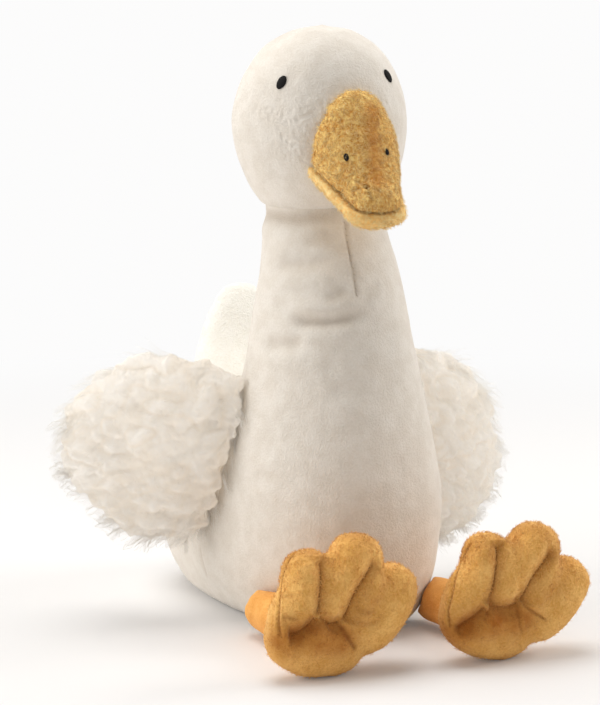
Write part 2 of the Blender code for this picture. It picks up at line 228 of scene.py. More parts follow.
def velour(
    name,
    shade,
    light,
    nap=1.1 * MM,
    depth=0.3 * MM,
    sheen=0.25,
    crease=None,
    patches=0.5,
    glow=0.0,
    painted_patch_colour=None,
):
    """Short pile: mottled where it lies one way or the other, with painted shade down in seams, folds
    and hollows. A darker colour, if given, is painted as shade on whole patches."""
    material, dye = new_material(name)
    patch = grain(dye, 9 * MM, 3).between(0.36, 0.64)
    fine = grain(dye, nap, 2, rough=0.6).between(0.3, 0.7)
    mottle = patch * patches + fine * (1 - patches)
    colour = mottle.blend(rgb(*shade), rgb(*light))
    # Painted shade on whole patches, a little uneven, where a darker colour is given.
    if painted_patch_colour:
        colour = (marked(dye, "brushed") * (0.68 + 0.32 * patch)).blend(colour, rgb(*painted_patch_colour))
    # Painted shade down in seams, folds and hollows, in the crease colour.
    colour = marked(dye, "sunk").blend(colour, rgb(*(crease or [0.6 * c for c in shade])))
    ruffle = grain(dye, nap * 3.5, 2, stretch=(1, 1, 1.6), rough=0.55)
    height = fine * 0.4 + grain(dye, nap * 0.5, 1) * 0.3 + ruffle * 0.9
    normal = dye.node("ShaderNodeBump", None, {"Strength": 0.75, "Distance": depth * 2, "Height": height})
    surface(dye, colour, normal, 0.85 + 0.1 * fine, sheen, 0.45, glow)
    return material


def pile_fibre(name, root, tip, sheen, painted_patch_colour=None, glow=0.0):
    """Loose fibres: each its own tone, darker at the root as painted shade down in the pile."""
    material, dye = new_material(name)
    # Painted shade towards the root, down in the pile.
    share = marked(dye, "along").between(0.0, 0.7) * 0.45 + marked(dye, "own_shade") * 0.55
    colour = share.blend(rgb(*root), rgb(*tip))
    # Painted shade on whole patches, where a darker colour is given.
    if painted_patch_colour:
        colour = marked(dye, "brushed").blend(colour, rgb(*painted_patch_colour))
    normal = dye.node(
        "ShaderNodeBump", None, {"Strength": 0.1, "Distance": 0.05 * MM, "Height": grain(dye, 0.6 * MM)}
    )
    surface(dye, colour, normal, 0.8, sheen, 0.5, glow)
    return material


def thread(name, shade, light, roughness):
    """Twisted sewing thread."""
    material, dye = new_material(name)
    twist = grain(dye, 0.35 * MM, 1)
    colour = twist.blend(rgb(*shade), rgb(*light))
    normal = dye.node("ShaderNodeBump", None, {"Strength": 0.4, "Distance": 0.08 * MM, "Height": twist})
    surface(dye, colour, normal, roughness)
    return material


WHITE_SHADE = (0.75, 0.685, 0.60)
WHITE_LIGHT = (0.84, 0.785, 0.71)
# Darker colours painted as shade on the heels, on the toes and beside the beak's ridge.
BEAK_PATCH_SHADE = (0.62, 0.24, 0.038)
MUSTARD_PATCH_SHADE = (0.43, 0.145, 0.018)
FLEECE_GLOW = 0.6
# Each crease colour is the painted shade down in seams, folds and hollows.
white_velour = velour("white_velour", WHITE_SHADE, WHITE_LIGHT, depth=0.2 * MM, crease=(0.50, 0.41, 0.32))
cream_velour = velour("cream_velour", (0.89, 0.86, 0.78), (0.95, 0.93, 0.87), patches=0.4)
mustard_plush = velour(
    "mustard_plush",
    (0.72, 0.36, 0.078),
    (0.96, 0.57, 0.185),
    nap=1.2 * MM,
    sheen=0.1,
    crease=(0.27, 0.09, 0.015),
    patches=0.45,
    painted_patch_colour=MUSTARD_PATCH_SHADE,
)
beak_plush = velour(
    "beak_plush",
    (0.62, 0.27, 0.045),
    (1.0, 0.73, 0.27),
    nap=1.7 * MM,
    depth=0.5 * MM,
    sheen=0.0,
    crease=(0.30, 0.11, 0.018),
    patches=0.25,
    painted_patch_colour=BEAK_PATCH_SHADE,
)
rim_plush = velour(
    "rim_plush",
    (0.96, 0.56, 0.16),
    (1.0, 0.80, 0.39),
    nap=1.3 * MM,
    sheen=0.1,
    crease=(0.20, 0.07, 0.012),
    patches=0.4,
)
orange_velour = velour(
    "orange_velour",
    (0.80, 0.34, 0.07),
    (0.97, 0.50, 0.14),
    nap=0.9 * MM,
    depth=0.16 * MM,
    sheen=0.1,
)
wing_backing = velour(
    "wing_backing",
    (0.99, 0.965, 0.925),
    (0.997, 0.985, 0.965),
    nap=1.6 * MM,
    depth=0.2 * MM,
    crease=(0.93, 0.86, 0.765),
    patches=0.2,
    glow=FLEECE_GLOW,
)
wing_pile = pile_fibre("wing_pile", (0.985, 0.96, 0.92), (0.995, 0.985, 0.965), 0.0, glow=FLEECE_GLOW)
mustard_fuzz = pile_fibre("mustard_fuzz", (0.62, 0.28, 0.05), (1.0, 0.64, 0.23), 0.05, MUSTARD_PATCH_SHADE)
beak_fuzz = pile_fibre("beak_fuzz", (0.54, 0.215, 0.03), (1.0, 0.84, 0.42), 0.0, BEAK_PATCH_SHADE)
rim_fuzz = pile_fibre("rim_fuzz", (0.90, 0.51, 0.14), (1.0, 0.85, 0.45), 0.05)
black_thread = thread("black_thread", (0.003, 0.003, 0.003), (0.014, 0.012, 0.012), 0.85)
white_thread = thread("white_thread", (0.50, 0.43, 0.34), (0.70, 0.63, 0.53), 0.6)
mustard_thread = thread("mustard_thread", (0.30, 0.12, 0.022), (0.50, 0.24, 0.055), 0.6)


# Stuffed shells
def evaluated_mesh(piece):
    graph = bpy.context.evaluated_depsgraph_get()
    return bpy.data.meshes.new_from_object(piece.evaluated_get(graph), depsgraph=graph)


def points_of(mesh):
    flat = np.empty(len(mesh.vertices) * 3, np.float32)
    mesh.vertices.foreach_get("co", flat)
    return flat.reshape(-1, 3).astype(float)


def normals_of(mesh):
    flat = np.empty(len(mesh.vertices) * 3, np.float32)
    mesh.vertex_normals.foreach_get("vector", flat)
    return flat.reshape(-1, 3).astype(float)


def edge_ends(mesh):
    """The first and the second point of every edge, as numbers of points."""
    ends = np.empty(len(mesh.edges) * 2, np.int32)
    mesh.edges.foreach_get("vertices", ends)
    return ends.reshape(-1, 2).T


def put_points(mesh, points):
    mesh.vertices.foreach_set("co", points.astype(np.float32).ravel())
    mesh.update()


def bake_modifiers(piece):
    """The piece's modifiers become its mesh."""
    mesh = evaluated_mesh(piece)
    piece.modifiers.clear()
    old = piece.data
    piece.data = mesh
    bpy.data.meshes.remove(old)


def cloth_shell(node, voxel, inset):
    """An even mesh over a copy of the solid, a little inside it, ready to be filled."""
    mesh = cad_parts[node].data.copy()
    shell = bpy.data.objects.new(node + "_shell", mesh)
    scene.collection.objects.link(shell)
    sheet = bmesh.new()
    sheet.from_mesh(mesh)
    bmesh.ops.remove_doubles(sheet, verts=sheet.verts, dist=0.01 * MM)
    sheet.to_mesh(mesh)
    sheet.free()
    mesh.materials.clear()
    remesh = shell.modifiers.new("even", "REMESH")
    remesh.mode = "VOXEL"
    remesh.voxel_size = voxel
    remesh.use_smooth_shade = True
    ease = shell.modifiers.new("ease", "SMOOTH")
    ease.factor = 0.5
    ease.iterations = 2
    bake_modifiers(shell)
    mesh = shell.data
    put_points(mesh, points_of(mesh) - normals_of(mesh) * inset)
    return shell


def swell(shells, caps):
    """Cloth pressure fills every shell at once, and no point goes further than its shell's cap."""
    starts = [points_of(s.data) for s in shells]
    for shell in shells:
        cloth = shell.modifiers.new("filling", "CLOTH")
        cloth.settings.quality = 5
        cloth.settings.mass = 0.3
        cloth.settings.tension_stiffness = 12
        cloth.settings.compression_stiffness = 12
        cloth.settings.shear_stiffness = 4
        cloth.settings.bending_stiffness = 0.4
        cloth.settings.use_pressure = True
        cloth.settings.uniform_pressure_force = FILLING_PRESSURE
        cloth.settings.effector_weights.gravity = 0
        cloth.collision_settings.use_collision = False
        cloth.point_cache.frame_start = 1
        cloth.point_cache.frame_end = FILLING_FRAMES
    for number in range(1, FILLING_FRAMES + 1):
        scene.frame_set(number)
    for shell, start, cap in zip(shells, starts, caps):
        swollen = evaluated_mesh(shell)
        move = points_of(swollen) - start
        far = np.linalg.norm(move, axis=1, keepdims=True)
        move *= np.minimum(1, cap / np.maximum(far, 1e-9))
        shell.modifiers.clear()
        put_points(shell.data, start + move)
        bpy.data.meshes.remove(swollen)
    scene.frame_set(1)


def meet_solid(shell, node, stand):
    """The filled shell keeps its own puckers, and takes the form of its solid, stand metres outside it."""
    tree = tree_of(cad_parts[node])
    first, second = edge_ends(shell.data)
    for _ in range(2):
        points, normals = points_of(shell.data), normals_of(shell.data)
        gap = np.empty(len(points))
        for number, point in enumerate(points):
            hit, normal, _, _ = tree.find_nearest(Vector(point))
            gap[number] = (Vector(point) - hit).dot(normal)
        for _ in range(4):
            total, count = gap.copy(), np.ones(len(gap))
            np.add.at(total, first, gap[second])
            np.add.at(total, second, gap[first])
            np.add.at(count, first, 1)
            np.add.at(count, second, 1)
            gap = total / count
        put_points(shell.data, points + normals * (stand - gap)[:, None])


def refine(shell):
    """Eases and rounds a shell, and flattens what lies below the floor."""
    ease = shell.modifiers.new("ease", "SMOOTH")
    ease.factor = 0.5
    ease.iterations = 4
    subdivision = shell.modifiers.new("round", "SUBSURF")
    subdivision.levels = SUBDIVISIONS
    subdivision.render_levels = SUBDIVISIONS
    bake_modifiers(shell)
    points = points_of(shell.data)
    points[:, 2] = np.maximum(points[:, 2], 0.0)
    put_points(shell.data, points)


def reach_into(shell, level, depth, rise):
    """A sewn end goes on into the piece that it is sewn to: points above level - depth move up by up
    to rise."""
    points = points_of(shell.data)
    share = np.clip((points[:, 2] - level + depth) / depth, 0, 1)
    points[:, 2] += rise * share * share * (3 - 2 * share)
    put_points(shell.data, points)


def tuck_in(shell, skin, within, sink):
    """A sewn edge goes into the piece that it is sewn to: the nearer a point lies to it, the further in
    it moves."""
    points = points_of(shell.data)
    for point in points:
        hit, normal, _, _ = skin.find_nearest(Vector(point))
        away = (Vector(point) - hit).dot(normal)
        if away < within:
            point -= np.array(normal) * sink * (1 - max(away, 0) / within)
    put_points(shell.data, points)


def tree_of(piece):
    mesh = piece.data
    faces = [tuple(f.vertices) for f in mesh.polygons]
    return BVHTree.FromPolygons([v.co for v in mesh.vertices], faces)


# Seams, creases and folds
def smooth_path(corners, pieces=6):
    """A soft line through a few pixels of the photograph."""
    corners = [np.array(c, float) for c in corners]
    padded = [2 * corners[0] - corners[1], *corners, 2 * corners[-1] - corners[-2]]
    path = []
    for a, b, c, d in zip(padded, padded[1:], padded[2:], padded[3:]):
        for step in range(pieces):
            t = step / pieces
            bend = 2 * a - 5 * b + 4 * c - d
            twist = 3 * b - a - 3 * c + d
            path.append(0.5 * (2 * b + (c - a) * t + bend * t**2 + twist * t**3))
    path.append(corners[-1])
    return path


def spot_on(skin, across, down):
    """The place on a piece's surface that shows at this pixel of the photograph."""
    ray = photo_ray(across, down)
    hit = skin.ray_cast(CAMERA_PLACE, ray)[0]
    if hit is None:
        hit = skin.find_nearest(CAMERA_PLACE + ray * CAMERA_DISTANCE)[0]
    return np.array(hit)


def line_on(skin, pixels):
    """The line on a piece's surface that shows through these pixels of the photograph."""
    return np.array([spot_on(skin, across, down) for across, down in smooth_path(pixels)])


def reach(points, line):
    """How far each point is from a line, how far along the line it lies, from 0 to 1, and the
    line's length."""
    steps = np.linalg.norm(np.diff(line, axis=0), axis=1)
    starts = np.concatenate([[0], np.cumsum(steps)])
    nearest = np.full(len(points), 1e3)
    along = np.zeros(len(points))
    for a, b, step, start in zip(line, line[1:], steps, starts):
        if step < 1e-7:
            continue
        t = np.clip((points - a) @ (b - a) / step**2, 0, 1)
        far = np.linalg.norm(points - a - t[:, None] * (b - a), axis=1)
        closer = far < nearest
        nearest[closer] = far[closer]
        along[closer] = start + t[closer] * step
    return nearest, along / starts[-1], starts[-1]


class Relief:
    """What is pressed into or raised on one piece's cloth."""

    def __init__(self, piece):
        self.piece = piece
        self.points = points_of(piece.data)
        self.normals = normals_of(piece.data)
        self.out = np.zeros(len(self.points))
        # Painted shade down in seams, folds and hollows, then painted shade on whole patches.
        self.sunk = np.zeros(len(self.points))
        self.brushed = np.zeros(len(self.points))

    def furrow(self, line, depth, width, lip=0.0, shade_strength=0.6, pucker=0.0, pitch=4 * MM, ends=0.12):
        """A seam or fold: pressed in along the line, with a soft lip on each side and puckers from its
        stitches, and painted shade along it. A depth below zero makes it a ridge."""
        far, along, length = reach(self.points, line)
        near = far < width * 5
        fade = np.ones(near.sum())
        if ends > 0:
            fade = np.clip(along[near] / ends, 0, 1) * np.clip((1 - along[near]) / ends, 0, 1)
            fade = fade * fade * (3 - 2 * fade)
        sink = np.exp(-((far[near] / width) ** 2)) * fade
        beat = 1 + pucker * np.cos(2 * math.pi * along[near] * length / pitch)
        side = np.exp(-(((far[near] - 2.0 * width) / (width * 1.1)) ** 2)) * fade
        self.out[near] += lip * side * beat - depth * sink * beat
        # Painted shade along the furrow.
        shadow = shade_strength * np.exp(-((far[near] / (width * 0.8)) ** 2)) * fade
        self.sunk[near] = np.maximum(self.sunk[near], shadow)

    def bump(self, middle, radius, height, shade_strength=0.0):
        """A soft hump, or a dimple where height is below zero, with painted shade on it if any is asked for.
        """
        far = np.linalg.norm(self.points - np.array(middle), axis=1)
        shape = np.exp(-((far / radius) ** 2))
        self.out += height * shape
        self.sunk = np.maximum(self.sunk, shade_strength * shape)

    def waves(self, size, height, seed=0.0, stretch=(1, 1, 1)):
        """Uneven filling: soft rises and hollows of about this size."""
        places = self.points / np.array(stretch) / size + seed
        self.out += height * np.array([noise.noise(Vector(p)) for p in places])

    def billows(self, size, height, shade_strength, seed, stretch=(1, 1, 1)):
        """Soft puffs of about this size, with a crease and painted shade where two of them meet."""
        places = self.points / np.array(stretch) / size + seed
        puff = np.abs(np.array([noise.noise(Vector(p)) for p in places]))
        self.out += height * (np.minimum(2.6 * puff, 1.0) - 0.4)
        self.sunk = np.maximum(self.sunk, shade_strength * np.exp(-((puff / 0.16) ** 2)))

    def soften(self, rounds):
        """Average the raised height over neighbours, so that hard edges become soft."""
        first, second = edge_ends(self.piece.data)
        count = len(self.out)
        beside = np.bincount(first, minlength=count) + np.bincount(second, minlength=count)
        for _ in range(rounds):
            total = np.bincount(first, self.out[second], count) + np.bincount(second, self.out[first], count)
            self.out = 0.5 * self.out + 0.5 * total / np.maximum(beside, 1)

    def ruffles(self, middle, radius, size, height):
        """Small crumples of the cloth round one place."""
        far = np.linalg.norm(self.points - np.array(middle), axis=1)
        near = far < 2.5 * radius
        crumple = np.array([noise.noise(Vector(p / size)) for p in self.points[near]])
        self.out[near] += height * (1 - 2.4 * np.abs(crumple)) * np.exp(-((far[near] / radius) ** 2))

    def apply(self):
        points = self.points + self.normals * self.out[:, None]
        points[:, 2] = np.maximum(points[:, 2], 0.05 * MM)
        put_points(self.piece.data, points)
        # Both marks of painted shade go onto the mesh, for its material.
        for label, values in (("sunk", self.sunk), ("brushed", self.brushed)):
            mark = self.piece.data.attributes.new(label, "FLOAT", "POINT")
            mark.data.foreach_set("value", np.clip(values, 0, 1).astype(np.float32))


def finish_piece(piece, name, node, material):
    """Names a piece, gives it its material and hides the solid that it stands for."""
    piece.name = name
    piece.data.name = name
    piece.data.materials.clear()
    piece.data.materials.append(material)
    for face in piece.data.polygons:
        face.use_smooth = True
    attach(piece, "root")
    if node:
        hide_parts(node)


# Thread
RIB_PITCH = 0.62 * MM  # of the satin stitches
RIB_HEIGHT = 0.09 * MM
RIB_SLANT = 0.35


def stitch_row(name, line, skin, pitch, length, thickness, material, skew):
    """A row of short stitches that lie on the cloth along a line."""
    steps = np.linalg.norm(np.diff(line, axis=0), axis=1)
    marks = np.concatenate([[0], np.cumsum(steps)])
    row = bmesh.new()
    count = max(2, int(marks[-1] / pitch))
    for number in range(count):
        middle = (number + 0.5) * pitch
        place = np.array([np.interp(middle, marks, line[:, k]) for k in range(3)])
        ahead = np.array([np.interp(middle + 0.5 * MM, marks, line[:, k]) for k in range(3)]) - place
        hit, normal, _, _ = skin.find_nearest(Vector(place))
        normal = Vector(normal)
        forward = Vector(ahead)
        forward = (forward - normal * forward.dot(normal)).normalized()
        side = normal.cross(forward)
        forward = (forward + side * skew).normalized()
        side = normal.cross(forward)
        turn = Matrix((forward, side, normal)).transposed().to_4x4()
        size = Matrix.Diagonal((length / 2, thickness / 2, thickness / 2, 1))
        spot = Matrix.Translation(Vector(hit) + normal * thickness * 0.1) @ turn @ size
        bmesh.ops.create_icosphere(row, subdivisions=1, radius=1, matrix=spot)
    mesh = bpy.data.meshes.new(name)
    row.to_mesh(mesh)
    row.free()
    piece = bpy.data.objects.new(name, mesh)
    scene.collection.objects.link(piece)
    finish_piece(piece, name, None, material)


def satin_patch(node):
    """Embroidery: the raised patch, ribbed by its side-by-side threads."""
    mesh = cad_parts[node].data.copy()
    patch = bpy.data.objects.new(node + "_stitching", mesh)
    scene.collection.objects.link(patch)
    sheet = bmesh.new()
    sheet.from_mesh(mesh)
    bmesh.ops.remove_doubles(sheet, verts=sheet.verts, dist=0.005 * MM)
    bmesh.ops.subdivide_edges(sheet, edges=sheet.edges, cuts=3, use_grid_fill=True, smooth=0.6)
    sheet.to_mesh(mesh)
    sheet.free()
    points = points_of(mesh)
    normals = normals_of(mesh)
    low, high = points.min(0), points.max(0)
    rib = np.sin((points[:, 2] + RIB_SLANT * points[:, 0]) / RIB_PITCH * 2 * math.pi)
    inner = np.minimum(1, np.linalg.norm((points - (low + high) / 2) / (high - low), axis=1) * 2)
    put_points(mesh, points + normals * (RIB_HEIGHT * rib * (1 - 0.5 * inner))[:, None])
    finish_piece(patch, node + "_stitching", node, black_thread)


# Fibres
FIBRE_SIDES = 3
PILE_THICKNESS = 0.12 * MM
PILE_TAPER = (1.0, 0.8, 0.35)  # share of the thickness at root, middle and tip
PILE_STAND = 0.6  # share of a fibre's length that stands up, and the share that leans over
PILE_LEAN = 0.8
PILE_ROOT = 0.15 * MM  # how far a fibre starts inside the cloth
PILE_FLOOR = 0.3 * MM
RUFFLE = 3.2 * MM  # patches in which short pile lies one way
RUFFLE_PULL = 2.6
THIN_BELOW = 28 * MM  # the feet's pile is thinnest up to this height
THIN_OVER = 30 * MM
THINNEST = 0.3


def fibre_tubes(name, paths, radii, shades, material, brushed=None):
    """Every path becomes a fine closed tube. paths is fibres x points x 3."""
    count, steps, _ = paths.shape
    wires = bpy.data.meshes.new(name + "_wires")
    first = np.arange(count)[:, None] * steps + np.arange(steps - 1)[None, :]
    edges = np.stack([first, first + 1], axis=2).reshape(-1, 2)
    wires.from_pydata(paths.reshape(-1, 3).tolist(), edges.tolist(), [])
    along = np.tile(np.linspace(0, 1, steps), count)
    marks = {"thick": radii.ravel(), "along": along, "own_shade": np.repeat(shades, steps)}
    if brushed is not None:
        marks["brushed"] = np.repeat(brushed, steps)
    for label, values in marks.items():
        mark = wires.attributes.new(label, "FLOAT", "POINT")
        mark.data.foreach_set("value", values.astype(np.float32))
    piece = bpy.data.objects.new(name, wires)
    scene.collection.objects.link(piece)
    piece.modifiers.new("tubes", "NODES").node_group = tube_maker()
    bake_modifiers(piece)
    finish_piece(piece, name, None, material)


def tube_maker():
    """Geometry nodes that turn wires into tubes as thick as their own mark says."""
    maker = bpy.data.node_groups.new("tube_maker", "GeometryNodeTree")
    maker.interface.new_socket("Geometry", in_out="INPUT", socket_type="NodeSocketGeometry")
    maker.interface.new_socket("Geometry", in_out="OUTPUT", socket_type="NodeSocketGeometry")
    dye = Dye(maker)
    wires = dye.node("NodeGroupInput")
    thick = dye.node("GeometryNodeInputNamedAttribute", {"data_type": "FLOAT"}, {"Name": "thick"})
    lines = dye.node("GeometryNodeMeshToCurve", None, {"Mesh": wires})
    ring = dye.node("GeometryNodeCurvePrimitiveCircle", None, {"Resolution": FIBRE_SIDES, "Radius": 1.0})
    tubes = dye.node(
        "GeometryNodeCurveToMesh",
        None,
        {"Curve": lines, "Profile Curve": ring, "Scale": thick, "Fill Caps": True},
    )
    dye.node("NodeGroupOutput", None, {0: tubes})
    return maker


def scatter(skin_mesh, count, dice):
    """Points spread evenly over a mesh, with the normal at each."""
    skin_mesh.calc_loop_triangles()
    corners = np.empty(len(skin_mesh.loop_triangles) * 3, np.int32)
    skin_mesh.loop_triangles.foreach_get("vertices", corners)
    points, normals = points_of(skin_mesh), normals_of(skin_mesh)
    triangles = corners.reshape(-1, 3)
    a, b, c = (points[triangles[:, k]] for k in range(3))
    areas = np.linalg.norm(np.cross(b - a, c - a), axis=1)
    chosen = dice.choice(len(triangles), count, p=areas / areas.sum())
    u, v = np.sqrt(dice.random(count))[:, None], dice.random(count)[:, None]
    weights = (1 - u, u * (1 - v), u * v)
    place = sum(w * points[triangles[chosen, k]] for k, w in enumerate(weights))
    facing = sum(w * normals[triangles[chosen, k]] for k, w in enumerate(weights))
    return place, facing / np.linalg.norm(facing, axis=1, keepdims=True)


def unit(vectors):
    return vectors / np.maximum(np.linalg.norm(vectors, axis=-1, keepdims=True), 1e-9)


def fuzz(name, piece, count, length, lie, seed, material, keep=None, patch_shading=None):
    """Short pile that stands out of the cloth, leaning the way the pile lies. The last argument tells
    how much painted shade the pile gets at each place."""
    dice = np.random.default_rng(seed)
    place, facing = scatter(piece.data, count, dice)
    if keep is not None:
        kept = keep(place)
        place, facing = place[kept], facing[kept]
    count = len(place)
    ruffle = np.array([noise.noise_vector(Vector(p / RUFFLE + 7.7 * seed)) for p in place])
    lean = np.array(lie) + ruffle * RUFFLE_PULL + dice.normal(0, 0.3, (count, 3))
    lean -= facing * np.sum(lean * facing, axis=1, keepdims=True)
    own_length = length * dice.uniform(0.6, 1.25, count)[:, None]
    share = np.array([0.0, 0.5, 1.0])
    stand = facing[:, None, :] * (share * PILE_STAND)[None, :, None]
    bend = unit(lean)[:, None, :] * (share**1.4 * PILE_LEAN)[None, :, None]
    paths = place[:, None, :] - facing[:, None, :] * PILE_ROOT + (stand + bend) * own_length[:, None, :]
    paths[:, :, 2] = np.maximum(paths[:, :, 2], PILE_FLOOR)
    radii = np.tile(np.array(PILE_TAPER) * PILE_THICKNESS, (count, 1))
    shades = np.array([noise.noise(Vector(p / (0.6 * RUFFLE) + 3.3 * seed)) for p in place])
    shades = np.clip(0.55 + 0.8 * shades + dice.normal(0, 0.3, count), 0, 1)
    # Painted shade on whole patches of pile.
    brushed = patch_shading(place) if patch_shading else None
    fibre_tubes(name, paths, radii, shades, material, brushed)


def shade_along(strokes):
    """Tells how much painted shade the pile gets at each place. Each stroke is a line, its reach and its
    strength.
    """

    def patch_shading(points):
        share = np.zeros(len(points))
        for line, wide, strength in strokes:
            share = np.maximum(share, strength * np.exp(-((reach(points, line)[0] / wide) ** 2)))
        return share

    return patch_shading


def toe_tops(place):
    """The feet's pile stands up most on the upper ends of the toes."""
    height = np.clip((place[:, 2] - THIN_BELOW) / THIN_OVER, 0, 1)
    chance = np.random.default_rng(61).random(len(place))
    return chance < THINNEST + (1 - THINNEST) * height


# Fleece of the wings
WING_SETBACK = -3.2 * MM
FIBRES_ON_FLAT = 3  # in each lock
FIBRES_AT_RIM = 28
FIBRE_STEPS = 6
FIBRE_THICKNESS = 0.08 * MM
FIBRE_ROOT = 0.4 * MM  # how far a fibre starts inside the cloth
FIBRE_FLOOR = 2 * MM
FIBRE_WAVE = 0.9 * MM
FIBRE_STRAY = 0.3 * MM
DROOP = 0.16  # share of its length by which a fibre's tip hangs down
BODY_CLEARANCE = 0.8 * MM
BODY_NEAR = 25 * MM
BIG_LOCKS = (130, 27 * MM, 6.5 * MM, 2.6 * MM)  # how many, and their length, half width and height
SMALL_LOCKS = (480, 15 * MM, 2.8 * MM, 1.0 * MM)
LOCK_BEHIND = 0.25  # share of a lock that lies behind its root
LOCK_DEPTH = 9 * MM  # how deep into the wing a lock still counts
LOCK_SHADE = 0.4  # strength of the painted shade in the hollows between locks
FLOW_SPREAD = 0.28


class Locks:
    """One layer of locks of a wing's pile: where each is rooted, how it flows, and how it waves."""

    def __init__(self, wing, outward, seed, layer):
        dice = self.dice = np.random.default_rng(seed)
        self.count, length, width, height = layer
        self.centres, self.facing = scatter(wing.data, self.count, dice)
        points = points_of(wing.data)
        inner = (points[:, 0] * outward).min()
        outer = (points[:, 0] * outward).max()
        far = ((self.centres[:, 0] * outward - inner) / (outer - inner))[:, None]
        flow = np.hstack([outward * (0.2 + 1.7 * far), 0 * far, 0.4 * far - 0.75])
        flow += dice.normal(0, FLOW_SPREAD, (self.count, 3))
        thin_way = np.linalg.svd(points[::7] - points.mean(0), full_matrices=False)[2][-1]
        self.rim = 1 - np.abs(self.facing @ thin_way)
        across = np.sum(flow * self.facing, axis=1, keepdims=True)
        hold = 0.9 - 0.75 * self.rim[:, None] * (across > 0)
        self.heading = unit(flow - self.facing * across * hold)
        self.side = unit(np.cross(self.heading, self.facing))
        self.length = length * dice.uniform(0.7, 1.25, self.count)
        self.width = width * dice.uniform(0.7, 1.3, self.count)
        self.height = height * dice.uniform(0.5, 1.15, self.count)
        self.curl = dice.uniform(0.2, 0.6, self.count) * width
        self.phase = dice.uniform(0, 2 * math.pi, self.count)

    def sway(self, k, share):
        """How far lock k waves to its side, at a share of its length."""
        return self.curl[k] * np.sin(share * 2 * math.pi * 1.1 + self.phase[k])

    def raise_on(self, relief):
        """Each lock is a long soft hump that overlaps the next ones and ends in a loose tip."""
        height = np.zeros(len(relief.points))
        for k in range(self.count):
            near = np.linalg.norm(relief.points - self.centres[k], axis=1) < self.length[k]
            apart = relief.points[near] - self.centres[k]
            share = apart @ self.heading[k] / self.length[k] + LOCK_BEHIND
            over = (apart @ self.side[k] - self.sway(k, share)) / (self.width[k] * (1.1 - 0.6 * share))
            deep = np.abs(apart @ self.facing[k]) / LOCK_DEPTH
            swell_in = np.clip(share / 0.45, 0, 1)
            taper = np.clip((1 - share) / 0.25, 0, 1)
            shape = np.exp(-1.6 * over**2) * swell_in * taper * np.clip(2 - deep, 0, 1)
            height[near] = np.maximum(height[near], shape * self.height[k])
        relief.out += height
        # Painted shade in the hollows between the locks.
        hollow = np.clip(1 - height / (0.6 * self.height.mean()), 0, 1)
        relief.sunk = np.maximum(relief.sunk, LOCK_SHADE * hollow)


def shag(name, wing, locks, body_skin):
    """Loose fibres that follow the locks, lie on them, and stand free at the tips and at the wing's edge."""
    dice = locks.dice
    skin = tree_of(wing)
    share = np.linspace(0, 1, FIBRE_STEPS)
    paths, shades = [], []
    for k in range(locks.count):
        droop = np.outer(-DROOP * locks.length[k] * share**2, [0, 0, 1])
        loose = 1 + 1.2 * locks.rim[k]
        for _ in range(round(FIBRES_ON_FLAT + (FIBRES_AT_RIM - FIBRES_ON_FLAT) * locks.rim[k])):
            beside = dice.uniform(-0.95, 0.95) * locks.width[k]
            behind = dice.uniform(-0.25, 0.35) * locks.length[k]
            start = locks.centres[k] + locks.heading[k] * behind + locks.side[k] * beside
            hit, normal, _, _ = skin.find_nearest(Vector(start))
            own = locks.length[k] * dice.uniform(0.5, 1.0)
            wave = np.sin(share * dice.uniform(3, 7) + dice.uniform(0, 6.3)) * share * FIBRE_WAVE
            sway = locks.sway(k, share * 0.9) - locks.sway(k, 0.0) - beside * 0.45 * share + wave
            path = np.array(hit) + np.outer(share * own, locks.heading[k]) + np.outer(sway, locks.side[k])
            path += np.outer(share**1.5 * own * dice.uniform(0.05, 0.4) * loose, locks.facing[k]) + droop
            path += dice.normal(0, FIBRE_STRAY, (FIBRE_STEPS, 3)) * share[:, None]
            for step in range(1, FIBRE_STEPS):
                hit, normal, _, _ = skin.find_nearest(Vector(path[step]))
                stands = (Vector(path[step]) - hit).dot(normal)
                lowest = (0.2 + 0.5 * share[step]) * MM
                highest = (0.7 + 4.2 * loose * share[step] ** 1.5) * MM
                if stands < lowest or stands > highest:
                    path[step] = np.array(hit) + np.array(normal) * min(max(stands, lowest), highest)
            path[0] -= np.array(normal) * FIBRE_ROOT
            paths.append(path)
            shades.append(dice.random())
    paths = np.array(paths)
    keep_clear(paths, body_skin)
    paths[:, :, 2] = np.maximum(paths[:, :, 2], FIBRE_FLOOR)
    radii = np.tile(FIBRE_THICKNESS * (1 - 0.6 * share**2), (len(paths), 1))
    fibre_tubes(name, paths, radii, np.array(shades), wing_pile)


def keep_clear(paths, body_skin):
    """Fibres lie on the body instead of going into it."""
    for path in paths:
        for step in range(1, len(path)):
            hit, normal, _, _ = body_skin.find_nearest(Vector(path[step]))
            depth = (Vector(path[step]) - hit).dot(normal)
            if depth < BODY_CLEARANCE and (Vector(path[step]) - hit).length < BODY_NEAR:
                path[step] += np.array(normal) * (BODY_CLEARANCE - depth)


# The goose, filled
place_camera()
shells = {node: cloth_shell(node, voxel, inset) for node, (voxel, inset, _) in STUFFED.items()}
swell(list(shells.values()), [cap for _, _, cap in STUFFED.values()])
for node, shell in shells.items():
    meet_solid(shell, node, WING_SETBACK if node.startswith("wing") else 0.0)
    refine(shell)

